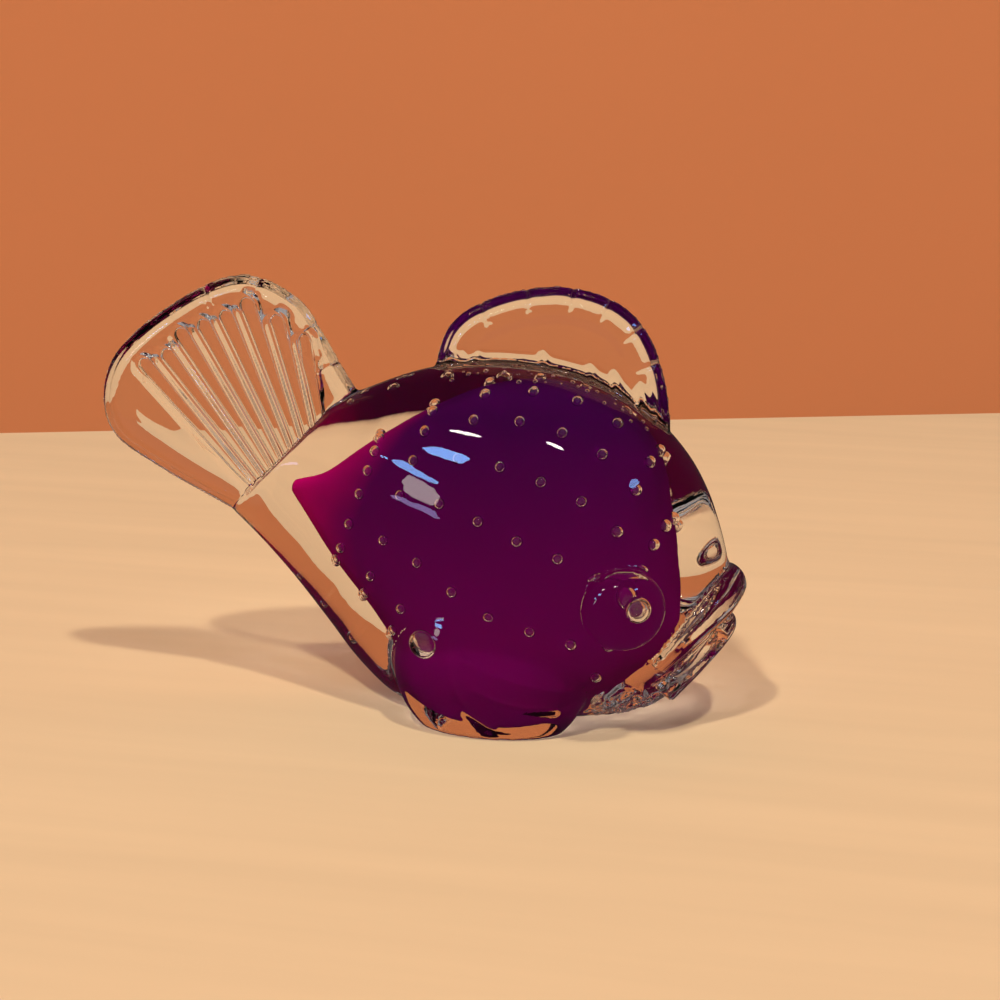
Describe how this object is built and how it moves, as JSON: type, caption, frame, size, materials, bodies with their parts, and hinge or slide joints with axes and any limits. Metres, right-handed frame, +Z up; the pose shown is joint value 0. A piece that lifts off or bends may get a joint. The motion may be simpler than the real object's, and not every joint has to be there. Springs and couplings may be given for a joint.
{
  "type": "glass fish figurine",
  "caption": "Solid glass fish paperweight: clear casing over a bubble-pricked purple core, with a ribbed fan tail, crimped back fin, side fins, domed eyes and pouting lips.",
  "frame": {"origin": "centre of the bounding box on the plane of the ground flat", "axes": "+X towards the fish's nose, +Y towards its left side, +Z up"},
  "size_m": [0.1302, 0.051, 0.0844],
  "materials": {
    "clear_glass": "clear, fire polished",
    "amethyst_glass": "deep transparent purple",
    "fin_glass": "clear, pressed ribs",
    "eye_glass": "clear, fire polished",
    "lip_glass": "clear, tooled"
  },
  "bodies": {
    "root": {"casing": "clear_glass", "core": "amethyst_glass", "tail_fin": "fin_glass", "dorsal_fin": "fin_glass", "pectoral_fin_left": "fin_glass", "pectoral_fin_right": "fin_glass", "eye_left": "eye_glass", "eye_right": "eye_glass", "upper_lip": "lip_glass", "lower_lip": "lip_glass"}
  },
  "joints": []
}
